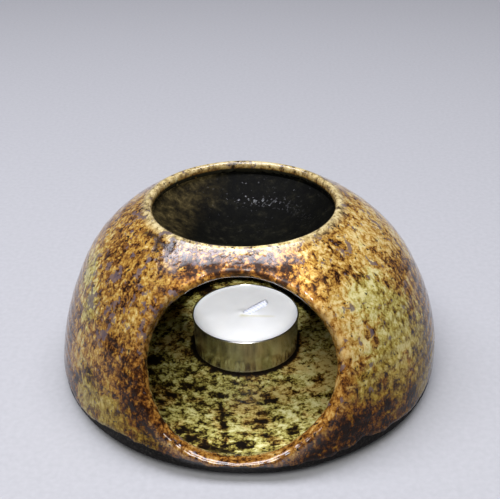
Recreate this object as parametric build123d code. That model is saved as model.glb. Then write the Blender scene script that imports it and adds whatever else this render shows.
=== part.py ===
from build123d import *
import math
import os

# Essential oil burner: a wheel-thrown stoneware dome with an oil well in its mouth, a round
# window cut in its front, and a tealight that stands on its floor. Millimetres, +Z up. The
# origin is the centre of the flat foot, and the window faces -Y.

# Driving dimensions of the pot
BODY_HEIGHT = 63.3          # crest of the rim above the table
BELLY_RADIUS = 66.7         # widest part of the outside
FOOT_TUCK = 20.0            # how far the edge of the flat foot lies in under the belly
WALL = 5.5                  # thickness of the thrown wall
FLOOR_THICKNESS = 5.0       # slab under the tealight
BELLY_DROP = 0.5            # widest part of the outside below the top of that slab
MOUTH_RADIUS = 30.8         # clear radius inside the rim
RIM_ROLL_RADIUS = 1.4       # rounding between the shoulder and the mouth

# Window in the front wall, cut square to the wall all round, so the cut is a cone
WINDOW_WIDTH = 62.0         # of the cone, in the plane through its sharp top and bottom edges
WINDOW_SILL_RISE = 1.8      # sharp bottom edge of the cut above the floor
WINDOW_TOP_DROP = 4.6       # sharp top edge of the cut below the crest of the rim
WINDOW_CONE_DEG = 24.0      # half angle by which the cut narrows towards the chamber
LIP_ROUND = 1.8             # sponged rounding of both edges of the cut

# Oil well, a shallow bowl luted into a rebate under the rim
WELL_SEAT_DROP = 3.9        # rim of the bowl below the crest of the pot
WELL_SEAT_WIDTH = 3.0       # flat ring on which bowl and rim meet
WELL_DEPTH = 16.0           # lowest point of the bowl below the crest of the pot
WELL_WALL = 4.2             # thickness of the bowl
WELL_LAND = 0.8             # upright strip between the rim of the bowl and its curve
WELL_CLEARANCE = 0.1        # between the bowl and the side of its rebate

# Tealight cup, drawn from thin sheet
TEALIGHT_X = -0.9           # where the tealight stands, a little left of the middle
CUP_RADIUS = 19.25          # outside of the rolled rim
CUP_BASE_RADIUS = 18.7      # foot of the wall
CUP_HEIGHT = 13.4
CUP_SKIN = 0.3
CUP_CORNER = 0.9            # rounding between the wall and the base
CUP_BEAD_RADIUS = 0.3       # rolled rim
CUP_PANEL_RADIUS = 14.0     # raised panel inside the ring that the cup stands on
CUP_PANEL_RISE = 0.6
CUP_PANEL_STEP = 0.8        # width of the slope round the panel

# Wax, wick and the disc that holds the wick
WAX_CLEARANCE = 0.05
WAX_DROP = 0.5              # edge of the wax below the rim of the cup
WAX_CROWN = 0.3             # middle of the wax above its edge
WICK_RADIUS = 0.95
WICK_LENGTH = 11.4          # from the bend to the tip
WICK_RISE_DEG = 27.0        # lean of that length above the level
WICK_TURN_DEG = -4.0        # its direction, from +X towards +Y
WICK_BEND_X = -1.5          # where the wick bends, just under the wax
WICK_BEND_Y = 1.7
WICK_BEND_DROP = 0.9
WICK_BEND_RADIUS = 1.6
WICK_CLEARANCE = 0.05
SUSTAINER_RADIUS = 6.0
SUSTAINER_THICKNESS = 0.3
SUSTAINER_NECK_RADIUS = 1.6
SUSTAINER_NECK_HEIGHT = 3.4

OVERRUN = 5.0               # every cutting tool passes its work by this much

BELLY_HEIGHT = FLOOR_THICKNESS - BELLY_DROP


def shoulder_circle():
    """Centre and radius of the shoulder arc, upright at the belly and tangent to the rim roll."""
    dr = MOUTH_RADIUS + RIM_ROLL_RADIUS - BELLY_RADIUS
    dz = BODY_HEIGHT - RIM_ROLL_RADIUS - BELLY_HEIGHT
    radius = (RIM_ROLL_RADIUS**2 - dr**2 - dz**2) / (2 * (dr + RIM_ROLL_RADIUS))
    return (BELLY_RADIUS - radius, BELLY_HEIGHT), radius


def shoulder_end(inset):
    """Where the shoulder arc, moved in by inset, gives way to the roll of the rim."""
    (centre_r, centre_z), radius = shoulder_circle()
    dr = MOUTH_RADIUS + RIM_ROLL_RADIUS - centre_r
    dz = BODY_HEIGHT - RIM_ROLL_RADIUS - centre_z
    share = (radius - inset) / math.hypot(dr, dz)
    return (centre_r + dr * share, centre_z + dz * share)


def shoulder_radius(z, inset):
    """Radius of the shoulder arc, moved in by inset, at a height. It runs on below the belly."""
    (centre_r, centre_z), radius = shoulder_circle()
    return centre_r + math.sqrt((radius - inset) ** 2 - (z - centre_z) ** 2)


def turned(outline):
    """Solid of revolution about the upright axis, from closed outline edges in the XZ plane."""
    with BuildPart() as solid:
        with BuildSketch(Plane.XZ):
            with BuildLine():
                outline()
            make_face()
        revolve(axis=Axis.Z)
    return solid.part


def dome_outline():
    """Outer line of the wall, from below the floor to the mouth, closed along the axis."""
    start = (shoulder_radius(-OVERRUN, 0), -OVERRUN)
    end = shoulder_end(0)
    mouth = (MOUTH_RADIUS, BODY_HEIGHT - RIM_ROLL_RADIUS)
    (centre_r, centre_z), _ = shoulder_circle()
    Line((0, -OVERRUN), start)
    ThreePointArc(start, (BELLY_RADIUS, BELLY_HEIGHT), end)
    TangentArc(end, mouth, tangent=(centre_z - end[1], end[0] - centre_r))
    Polyline(mouth, (0, mouth[1]), (0, -OVERRUN))


def chamber_outline():
    """Inner line of the wall, from below the floor to the shoulder, closed along the axis."""
    start = (shoulder_radius(-OVERRUN, WALL), -OVERRUN)
    end = shoulder_end(WALL)
    Line((0, -OVERRUN), start)
    ThreePointArc(start, (BELLY_RADIUS - WALL, BELLY_HEIGHT), end)
    Polyline(end, (0, end[1]), (0, -OVERRUN))


def foot_outline():
    """Line of the slab: flat foot, rounded edge and belly, closed along the axis."""
    foot_r = BELLY_RADIUS - FOOT_TUCK
    edge = (shoulder_radius(FLOOR_THICKNESS, 0), FLOOR_THICKNESS)
    Line((0, 0), (foot_r, 0))
    EllipticalCenterArc((foot_r, BELLY_HEIGHT), FOOT_TUCK, BELLY_HEIGHT, start_angle=-90)
    TangentArc((BELLY_RADIUS, BELLY_HEIGHT), edge, tangent=(0, 1))
    Polyline(edge, (0, FLOOR_THICKNESS), (0, 0))


def upright_cylinder(radius, bottom, top):
    return Pos(0, 0, bottom) * extrude(Circle(radius), amount=top - bottom)


def window_cone():
    """Tool that cuts the window: an oval cone, square to the wall, narrower inside than out."""
    top_z = BODY_HEIGHT - WINDOW_TOP_DROP
    sill_z = FLOOR_THICKNESS + WINDOW_SILL_RISE
    top = Vector(0, -shoulder_radius(top_z, 0), top_z)
    sill = Vector(0, -shoulder_radius(sill_z, 0), sill_z)
    outward = Vector(1, 0, 0).cross(top - sill)
    plane = Plane(origin=(top + sill) / 2, x_dir=(1, 0, 0), z_dir=outward)
    half_height = (top - sill).length / 2
    half_width = WINDOW_WIDTH / 2
    spread = math.tan(math.radians(WINDOW_CONE_DEG))
    reach_in = BELLY_RADIUS + top.Y
    reach_out = half_height / 2
    ovals = [
        plane.offset(reach) * Ellipse(half_width + reach * spread, half_height + reach * spread)
        for reach in (-reach_in, reach_out)
    ]
    return loft([oval.face() for oval in ovals], ruled=True)


def make_dome_shell():
    """Thrown wall from the floor up, with its rolled rim, its seat for the bowl and its window."""
    seat_z = BODY_HEIGHT - WELL_SEAT_DROP
    seat_radius = MOUTH_RADIUS + WELL_SEAT_WIDTH + WELL_CLEARANCE
    seat_start = shoulder_end(WALL)[1] - OVERRUN
    cone = window_cone()
    shell = turned(dome_outline) - turned(chamber_outline) - cone
    seam = cone.edges().sort_by(Edge.is_closed)[0]
    cut = shell.faces().filter_by(GeomType.BSPLINE)[0]
    lips = cut.edges().filter_by(lambda edge: seam.distance_to(edge @ 0.5) > WALL / 10)
    shell = fillet(lips, min(LIP_ROUND, WALL / 3))
    shell -= upright_cylinder(MOUTH_RADIUS, seat_start, BODY_HEIGHT + OVERRUN)
    shell -= upright_cylinder(seat_radius, seat_start, seat_z)
    return split(shell, bisect_by=Plane.XY.offset(FLOOR_THICKNESS), keep=Keep.TOP)


def make_base_disc():
    """Floor slab and foot, under the wall, whose outer line runs on round its edge."""
    return turned(foot_outline)


def well_outline():
    """Bowl with a spherical hollow, an even wall and a flat rim."""
    rim_z = BODY_HEIGHT - WELL_SEAT_DROP
    bottom_z = BODY_HEIGHT - WELL_DEPTH
    brim = (MOUTH_RADIUS, rim_z - WELL_LAND)
    rise = brim[1] - bottom_z
    hollow_radius = (brim[0] ** 2 + rise**2) / (2 * rise)
    outer_r = MOUTH_RADIUS + WELL_SEAT_WIDTH
    back_radius = hollow_radius + WELL_WALL
    outer_z = bottom_z + hollow_radius - math.sqrt(back_radius**2 - outer_r**2)
    TangentArc((0, bottom_z), brim, tangent=(1, 0))
    Polyline(brim, (MOUTH_RADIUS, rim_z), (outer_r, rim_z), (outer_r, outer_z))
    TangentArc((0, bottom_z - WELL_WALL), (outer_r, outer_z), tangent=(1, 0))
    Line((0, bottom_z - WELL_WALL), (0, bottom_z))


def make_oil_well():
    return turned(well_outline)


def stood_on_floor(piece):
    """Piece of the tealight, drawn about its own axis, in its place on the floor."""
    return Pos(TEALIGHT_X, 0, FLOOR_THICKNESS) * piece


def cup_corners(inset):
    """Corners of the cup's section from the axis to the rim, moved in by inset."""
    rim_r = CUP_RADIUS - 2 * CUP_BEAD_RADIUS + CUP_SKIN
    slope = math.atan2(rim_r - CUP_BASE_RADIUS, CUP_HEIGHT)
    turn = math.atan2(CUP_PANEL_RISE, CUP_PANEL_STEP)
    shift = inset * math.tan(turn / 2)
    wall_r = CUP_BASE_RADIUS - inset / math.cos(slope)
    return [
        (0, CUP_PANEL_RISE + inset),
        (CUP_PANEL_RADIUS + shift, CUP_PANEL_RISE + inset),
        (CUP_PANEL_RADIUS + CUP_PANEL_STEP + shift, inset),
        (wall_r + inset * math.tan(slope), inset),
        (wall_r + CUP_HEIGHT * math.tan(slope), CUP_HEIGHT),
    ]


def cup_outline(inset):
    corners = cup_corners(inset)
    FilletPolyline(*corners, radius=(0, 0, CUP_CORNER - inset))
    Polyline(corners[-1], (0, CUP_HEIGHT), corners[0])


def bead_outline():
    centre = (CUP_RADIUS - CUP_BEAD_RADIUS, CUP_HEIGHT - CUP_BEAD_RADIUS)
    CenterArc(centre, CUP_BEAD_RADIUS, 0, 360)


def make_tealight_cup():
    """Drawn cup with a raised panel in its base and a rolled rim."""
    cup = turned(lambda: cup_outline(0)) - turned(lambda: cup_outline(CUP_SKIN))
    cup += turned(bead_outline)
    return stood_on_floor(cup)


def wick_line():
    """From the disc in the bottom of the cup, through the wax, to the bend and the free tip."""
    foot_z = CUP_PANEL_RISE + CUP_SKIN + SUSTAINER_THICKNESS
    neck_z = foot_z + SUSTAINER_NECK_HEIGHT
    bend = Vector(WICK_BEND_X, WICK_BEND_Y, CUP_HEIGHT - WAX_DROP - WICK_BEND_DROP)
    rise = math.radians(WICK_RISE_DEG)
    turn = math.radians(WICK_TURN_DEG)
    free = Vector(
        math.cos(rise) * math.cos(turn), math.cos(rise) * math.sin(turn), math.sin(rise)
    )
    return FilletPolyline(
        (0, 0, foot_z),
        (0, 0, neck_z),
        bend,
        bend + free * WICK_LENGTH,
        radius=(SUSTAINER_NECK_HEIGHT, WICK_BEND_RADIUS),
    )


def wick_of_radius(radius):
    line = wick_line()
    start = Plane(origin=line @ 0, z_dir=line % 0)
    return sweep(start * Circle(radius), path=line)


def sustainer_of_clearance(clearance):
    """Disc and neck, larger all round by a clearance."""
    base_z = CUP_PANEL_RISE + CUP_SKIN
    disc_z = base_z + SUSTAINER_THICKNESS + clearance
    neck_z = base_z + SUSTAINER_THICKNESS + SUSTAINER_NECK_HEIGHT + clearance
    disc = upright_cylinder(SUSTAINER_RADIUS + clearance, base_z, disc_z)
    return disc + upright_cylinder(SUSTAINER_NECK_RADIUS + clearance, base_z, neck_z)


def wax_outline():
    """Wax that fills the cup, with a low crown."""
    corners = cup_corners(CUP_SKIN + WAX_CLEARANCE)
    foot, top = corners[3], corners[4]
    edge_z = CUP_HEIGHT - WAX_DROP
    share = (edge_z - foot[1]) / (top[1] - foot[1])
    edge = (foot[0] + (top[0] - foot[0]) * share, edge_z)
    FilletPolyline(*corners[:4], edge, radius=(0, 0, CUP_CORNER - CUP_SKIN - WAX_CLEARANCE))
    TangentArc((0, edge_z + WAX_CROWN), edge, tangent=(1, 0))
    Line((0, edge_z + WAX_CROWN), corners[0])


def make_tealight_wax():
    wax = turned(wax_outline)
    wax -= wick_of_radius(WICK_RADIUS + WICK_CLEARANCE)
    wax -= sustainer_of_clearance(WAX_CLEARANCE)
    return stood_on_floor(wax)


def make_tealight_wick():
    return stood_on_floor(wick_of_radius(WICK_RADIUS))


def make_wick_sustainer():
    """Pressed disc with a crimped neck that holds the wick upright."""
    sustainer = sustainer_of_clearance(0)
    sustainer -= wick_of_radius(WICK_RADIUS + WICK_CLEARANCE)
    return stood_on_floor(sustainer)


PARTS = {
    "base_disc": make_base_disc,
    "dome_shell": make_dome_shell,
    "oil_well": make_oil_well,
    "tealight_cup": make_tealight_cup,
    "tealight_wax": make_tealight_wax,
    "tealight_wick": make_tealight_wick,
    "wick_sustainer": make_wick_sustainer,
}

os.makedirs("parts", exist_ok=True)
for name, make in PARTS.items():
    piece = make()
    piece.label = name
    export_step(piece, f"parts/{name}.step")
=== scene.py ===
import math
from functools import partial

import bpy
import numpy as np
from mathutils import Euler, Matrix, Vector, kdtree, noise


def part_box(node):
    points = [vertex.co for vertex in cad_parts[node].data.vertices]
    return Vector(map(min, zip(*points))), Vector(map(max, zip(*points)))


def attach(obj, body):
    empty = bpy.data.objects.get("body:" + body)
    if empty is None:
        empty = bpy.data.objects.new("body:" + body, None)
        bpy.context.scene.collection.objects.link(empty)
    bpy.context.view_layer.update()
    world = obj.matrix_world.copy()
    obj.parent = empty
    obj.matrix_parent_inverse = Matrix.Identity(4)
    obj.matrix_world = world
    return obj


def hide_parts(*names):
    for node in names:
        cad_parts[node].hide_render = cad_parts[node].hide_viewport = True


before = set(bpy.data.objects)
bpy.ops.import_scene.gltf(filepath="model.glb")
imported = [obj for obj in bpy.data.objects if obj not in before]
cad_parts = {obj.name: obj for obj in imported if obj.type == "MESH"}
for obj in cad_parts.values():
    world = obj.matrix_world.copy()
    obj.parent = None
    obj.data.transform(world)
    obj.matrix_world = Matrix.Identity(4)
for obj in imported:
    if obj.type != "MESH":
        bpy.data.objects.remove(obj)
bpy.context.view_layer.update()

# Essential oil burner: a wheel-thrown stoneware dome with a dark glazed bowl in its mouth, a round
# window in its front and a tealight inside. All lengths below are millimetres; MM turns them into
# the metres of the scene. The window faces -Y and the pot stands on the floor at Z = 0.

MM = 0.001


def corners_mm(node):
    """Lowest and highest corner of a solid of the burner, in millimetres."""
    low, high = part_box(node)
    return low / MM, high / MM


shell_low, shell_high = corners_mm("dome_shell")
well_low, well_high = corners_mm("oil_well")
cup_low, cup_high = corners_mm("tealight_cup")
wax_low, wax_high = corners_mm("tealight_wax")
disc_low, disc_high = corners_mm("wick_sustainer")

# Pot, from the solids of the burner and a few lengths of its own
BODY_HEIGHT = shell_high.z
BELLY_RADIUS = shell_high.x
FLOOR_TOP = shell_low.z
FOOT_TUCK = 20.0  # the flat foot lies this far in under the belly
BELLY_DROP = 0.5  # widest part below the floor of the chamber
BELLY_HEIGHT = FLOOR_TOP - BELLY_DROP
WALL = 5.5
ROLL = 1.4  # rounding of the rim
SEAT_CLEARANCE = 0.1
SEAT_RADIUS = well_high.x + SEAT_CLEARANCE
SEAT_WIDTH = 3.0
MOUTH_RADIUS = well_high.x - SEAT_WIDTH
CORNER_FILL = 3.2  # glaze that pooled where the wall meets the floor
CUP_X = (cup_low.x + cup_high.x) / 2  # the tealight stands a little to one side
CUP_RADIUS = (cup_high.x - cup_low.x) / 2

# Window
SILL_RISE = 1.8
TOP_DROP = 4.6
WINDOW_WIDTH = 62.0
CONE_SPREAD = math.tan(math.radians(24))
KNIFE_IN, KNIFE_OUT = 34.0, 15.0  # reach of the cut from the plane of the window

# Hand of the potter
VOXEL = 0.98  # clay is rounded over about this size
SMOOTHING = 6
LIP_SMOOTHING = 11
FULLNESS = 1.1  # the thrown shoulder stands this far outside its even arc
LEAN_OUT, LEAN_BACK = 3.6, 4.8  # lean of the pot to the right and of its mouth to the left
THROWING_RING = 0.62  # height of a ring, over one radian of its wave
GLAZE = 0.38  # thickness of the glaze
GLAZE_BEAD = 0.10  # what its lower edge stands out further
TIDE_HEIGHT = 7.0  # the glaze ends about here over the bare foot

# Where the tide of the glaze was pushed up or down: degrees round the pot, width and height
TIDE_PUSHES = ((-30, 14, 1.3), (0, 22, -1.2), (-52, 9, -2.0), (22, 7, -0.7), (35.5, 2.4, 1.6),
               (57, 9, -0.9))


# ------------------------ tools of the bench

def clear_selection():
    if bpy.context.mode != "OBJECT":
        bpy.ops.object.mode_set(mode="OBJECT")
    bpy.ops.object.select_all(action="DESELECT")


def take_up(piece):
    clear_selection()
    piece.select_set(True)
    bpy.context.view_layer.objects.active = piece


def set_down(piece):
    """Leaves edit mode with the piece's place in its mesh and its origin at the world's."""
    bpy.ops.object.mode_set(mode="OBJECT")
    bpy.ops.object.transform_apply()
    return piece


def use_modifier(piece, kind, **settings):
    take_up(piece)
    bpy.ops.object.modifier_add(type=kind)
    modifier = piece.modifiers[-1]
    for key, value in settings.items():
        setattr(modifier, key, value)
    bpy.ops.object.modifier_apply(modifier=modifier.name)


def shade_smooth(piece, sharpest_deg):
    """Soft shading, except over edges that are sharper than an angle."""
    take_up(piece)
    bpy.ops.object.shade_smooth_by_angle(angle=math.radians(sharpest_deg))


def arc(centre, radius, start_deg, end_deg, steps):
    """Points of a circle's arc in a section, radius outwards and height upwards."""
    angles = [math.radians(start_deg + (end_deg - start_deg) * i / steps) for i in range(steps + 1)]
    wide, tall = radius if isinstance(radius, tuple) else (radius, radius)
    return [(centre[0] + wide * math.cos(a), centre[1] + tall * math.sin(a)) for a in angles]


def draw_section(name, line, axis_x=0.0):
    """A section line: one vertex, pulled on from point to point in the XZ plane."""
    clear_selection()
    start = ((axis_x + line[0][0]) * MM, 0, line[0][1] * MM)
    bpy.ops.mesh.primitive_plane_add(size=MM, location=start)
    piece = bpy.context.object
    piece.name = name
    bpy.ops.object.mode_set(mode="EDIT")
    bpy.ops.mesh.merge(type="CENTER")
    for here, there in zip(line, line[1:]):
        step = ((there[0] - here[0]) * MM, 0, (there[1] - here[1]) * MM)
        bpy.ops.mesh.extrude_region_move(TRANSFORM_OT_translate={"value": step})
    return piece


def throw(name, line, steps, axis_x=0.0):
    """A form turned on the wheel: its section line spun round the upright axis."""
    piece = draw_section(name, line, axis_x)
    bpy.ops.mesh.select_all(action="SELECT")
    bpy.ops.mesh.spin(steps=steps, angle=math.tau, center=(axis_x * MM, 0, 0), axis=(0, 0, 1))
    bpy.ops.mesh.select_all(action="SELECT")
    bpy.ops.mesh.remove_doubles(threshold=0.01 * MM)
    bpy.ops.mesh.normals_make_consistent()
    return set_down(piece)


def read_points(piece):
    points = np.empty(len(piece.data.vertices) * 3)
    piece.data.vertices.foreach_get("co", points)
    return points.reshape(-1, 3) / MM


def write_points(piece, points):
    piece.data.vertices.foreach_set("co", (points * MM).ravel())
    piece.data.update()


def write_layer(piece, name, values):
    layer = piece.data.attributes.new(name, "FLOAT", "POINT")
    layer.data.foreach_set("value", np.asarray(values, np.float32))


def ease(values, low, high):
    share = np.clip((values - low) / (high - low), 0, 1)
    return share * share * (3 - 2 * share)


def hump(values, middle, width):
    """1 at the middle, and less the further off, by a width on both sides."""
    return np.exp(-(((values - middle) / width) ** 2))


def wander(points, size, seed):
    """Soft noise from -1 to 1 whose lumps are about size millimetres wide."""
    shift = Vector((seed * 17.3, seed * 5.9, seed * 11.1))
    return np.array([noise.noise(Vector(p) / size + shift) for p in points])


def round_angle(points):
    """Degrees from the middle of the window, positive towards +X."""
    return np.degrees(np.arctan2(points[:, 0], -points[:, 1]))


def turn_from(angle, middle):
    """Degrees from a direction, -180 to 180."""
    return (angle - middle + 180) % 360 - 180


def away_from_line(points, start, end):
    """Distance of points from a straight line between two ends."""
    start, along = np.array(start), np.array(end) - np.array(start)
    share = np.clip((points - start) @ along / (along @ along), 0, 1)
    return np.linalg.norm(points - start - share[:, None] * along, axis=1)


def off_axis(points, axis_x=0.0):
    """Distance from an upright axis, the outward direction and the turn round it in radians."""
    across = points[:, :2] - np.array([axis_x, 0])
    radius = np.hypot(across[:, 0], across[:, 1])
    outward = across / np.maximum(radius, 0.01)[:, None]
    return radius, outward, np.arctan2(across[:, 1], across[:, 0])


# ------------------------ the fired pot

def shoulder_arc():
    """Centre and radius of the shoulder, upright at the belly and tangent to the rim's roll."""
    dr = MOUTH_RADIUS + ROLL - BELLY_RADIUS
    dz = BODY_HEIGHT - ROLL - BELLY_HEIGHT
    radius = (ROLL**2 - dr**2 - dz**2) / (2 * (dr + ROLL))
    return (BELLY_RADIUS - radius, BELLY_HEIGHT), radius


SHOULDER_CENTRE, SHOULDER = shoulder_arc()


def shoulder_radius(height, inset=0.0):
    reach = math.sqrt((SHOULDER - inset) ** 2 - (height - SHOULDER_CENTRE[1]) ** 2)
    return SHOULDER_CENTRE[0] + reach


def pot_section(step):
    """Closed section of foot, wall, rim, mouth, chamber and floor, points about step apart."""
    foot_r = BELLY_RADIUS - FOOT_TUCK
    roll_centre = (MOUTH_RADIUS + ROLL, BODY_HEIGHT - ROLL)
    lean_deg = math.degrees(
        math.atan2(roll_centre[1] - SHOULDER_CENTRE[1], roll_centre[0] - SHOULDER_CENTRE[0])
    )
    seat_z = well_high.z
    inner = SHOULDER - WALL
    roof = math.degrees(math.acos((SEAT_RADIUS - SHOULDER_CENTRE[0]) / inner))
    corner_z = FLOOR_TOP + CORNER_FILL
    corner = math.degrees(math.asin((corner_z - SHOULDER_CENTRE[1]) / inner))
    corner_r = shoulder_radius(corner_z, WALL)
    floor_r = corner_r - CORNER_FILL
    line = [(foot_r * i / 12, 0.0) for i in range(12)]
    line += arc((foot_r, BELLY_HEIGHT), (FOOT_TUCK, BELLY_HEIGHT), -90, 0, int(24 / step))
    line += arc(SHOULDER_CENTRE, SHOULDER, 0, lean_deg, int(80 / step))[1:]
    line += arc(roll_centre, ROLL, lean_deg, 180, max(8, int(6 / step)))[1:]
    line += [(MOUTH_RADIUS, seat_z), (SEAT_RADIUS, seat_z)]
    line += arc(SHOULDER_CENTRE, inner, roof, corner, int(70 / step))
    line += arc((floor_r, corner_z), CORNER_FILL, 0, -90, max(6, int(5 / step)))[1:]
    line += [(floor_r * (1 - i / 30), FLOOR_TOP) for i in range(1, 31)]
    return line


def even_points(line, step):
    """The same line with points at most step apart."""
    points = []
    for here, there in zip(line, line[1:] + line[:1]):
        parts = max(1, math.ceil(math.dist(here, there) / step))
        points += [
            (here[0] + (there[0] - here[0]) * i / parts, here[1] + (there[1] - here[1]) * i / parts)
            for i in range(parts)
        ]
    return points


def window_plane():
    """Middle, outward and upward direction and half height of the oval cut."""
    top_z = BODY_HEIGHT - TOP_DROP
    sill_z = FLOOR_TOP + SILL_RISE
    top = Vector((0, -shoulder_radius(top_z), top_z))
    sill = Vector((0, -shoulder_radius(sill_z), sill_z))
    upward = (top - sill).normalized()
    return (top + sill) / 2, Vector((1, 0, 0)).cross(upward), upward, (top - sill).length / 2


WINDOW_CENTRE, WINDOW_OUT, WINDOW_UP, WINDOW_HALF_HEIGHT = window_plane()


def cut_outline(depth, angle):
    """Reach of the cut from the cone's axis, a little uneven as the potter's knife strayed."""
    wide = WINDOW_WIDTH / 2 + depth * CONE_SPREAD
    tall = WINDOW_HALF_HEIGHT + depth * CONE_SPREAD
    oval = 1 / np.sqrt((np.cos(angle) / wide) ** 2 + (np.sin(angle) / tall) ** 2)
    low_right = hump(turn_from(np.degrees(angle), -48), 0, 26)
    low_left = hump(turn_from(np.degrees(angle), -140), 0, 30)
    strayed = 0.35 * low_left - 1.1 * low_right + 0.12 * np.sin(5 * angle + 1)
    return oval + (strayed + 0.08 * np.sin(9 * angle))


def seen_in_window(points):
    """Depth outward from the window's plane, distance from the cone's axis and its direction."""
    from_centre = points - np.array(WINDOW_CENTRE)
    across, up = from_centre[:, 0], from_centre @ np.array(WINDOW_UP)
    return from_centre @ np.array(WINDOW_OUT), np.hypot(across, up), np.arctan2(up, across)


def window_clearance(points):
    """Signed distance from the cut's conical face, negative in the opening."""
    depth, away, angle = seen_in_window(points)
    return away - cut_outline(depth, angle)


def window_tool():
    """The oval cone that the potter's knife went round."""
    clear_selection()
    bpy.ops.mesh.primitive_cone_add(
        vertices=144,
        radius1=MM,
        radius2=MM,
        depth=(KNIFE_IN + KNIFE_OUT) * MM,
        location=(WINDOW_CENTRE + WINDOW_OUT * (KNIFE_OUT - KNIFE_IN) / 2) * MM,
        rotation=Matrix((Vector((1, 0, 0)), WINDOW_UP, WINDOW_OUT)).transposed().to_euler(),
    )
    tool = bpy.context.object
    tool.name = "window_tool"
    set_down(tool)
    depth, _, angle = seen_in_window(read_points(tool))
    middle = np.array(WINDOW_CENTRE) + depth[:, None] * np.array(WINDOW_OUT)
    spoke = np.cos(angle)[:, None] * np.array([1, 0, 0])
    spoke = spoke + np.sin(angle)[:, None] * np.array(WINDOW_UP)
    write_points(tool, middle + cut_outline(depth, angle)[:, None] * spoke)
    return tool


def settle_on_section(points, line, weights):
    """Lays the clay back on its thrown section where the cut's soft edge doesn't reach."""
    tree = kdtree.KDTree(len(line))
    for index, (radius, height) in enumerate(line):
        tree.insert((radius, 0, height), index)
    tree.balance()
    radii = np.hypot(points[:, 0], points[:, 1])
    settled = points.copy()
    for index in np.nonzero((weights > 0) & (radii > 0.5))[0]:
        radius, height = radii[index], points[index, 2]
        found = tree.find((radius, 0, height))[0]
        share = weights[index]
        settled[index, :2] *= (radius + (found.x - radius) * share) / radius
        settled[index, 2] = height + (found.z - height) * share
    return settled


def sponge_lip(pot, clearance):
    """Rounds the cut's edges further, as a wet sponge does, and leaves the thrown wall alone."""
    wet = pot.vertex_groups.new(name="sponged")
    weights = np.round(10 * (1 - ease(clearance, 1.5, 4.5)))
    for level in range(1, 11):
        wet.add(np.nonzero(weights == level)[0].tolist(), level / 10, "REPLACE")
    use_modifier(pot, "SMOOTH", factor=0.5, iterations=LIP_SMOOTHING, vertex_group=wet.name)
    pot.vertex_groups.clear()


def glaze_tide(angle):
    """Height at which the glaze ends over the bare foot, by degrees round the pot."""
    tide = np.full(len(angle), TIDE_HEIGHT)
    for middle, width, push in TIDE_PUSHES:
        tide += push * hump(turn_from(angle, middle), 0, width)
    turn = np.radians(angle)
    spots = np.column_stack([np.sin(turn), np.cos(turn), np.zeros(len(angle))]) * BELLY_RADIUS
    return tide + 0.8 * wander(spots, 5.0, 3) + 0.4 * wander(spots, 2.3, 4)


def lean(height):
    """How far the pot leans to the right at a height."""
    share = np.clip(height / BODY_HEIGHT, 0, 1)
    return LEAN_OUT * share - LEAN_BACK * share**2


def handle_clay(points, angle):
    """The slight lean and unevenness of a pot that was thrown and cut by hand."""
    moved = points.copy()
    height = points[:, 2]
    radius, outward, _ = off_axis(points)
    moved[:, 0] += lean(height) * ease(height, FLOOR_TOP - 2, FLOOR_TOP + 12)
    lumps = 0.35 * wander(points, 34, 1) + 0.12 * wander(points, 13, 2)
    wave = height / THROWING_RING + 1.3 * wander(points, 26, 6) + angle / 60
    rings = 0.07 * np.sin(wave) * ease(height, 8, 16)
    off_floor = ease(radius, BELLY_RADIUS - 22, BELLY_RADIUS - 10)
    swell = (lumps + rings) * np.maximum(off_floor, ease(height, 20, 30))
    flank = 1 - hump(angle, 0, 42)
    swell += FULLNESS * flank * hump(height, 49, 10) * ease(radius, 36, 42)
    moved[:, :2] += outward * swell[:, None]
    return moved


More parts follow.
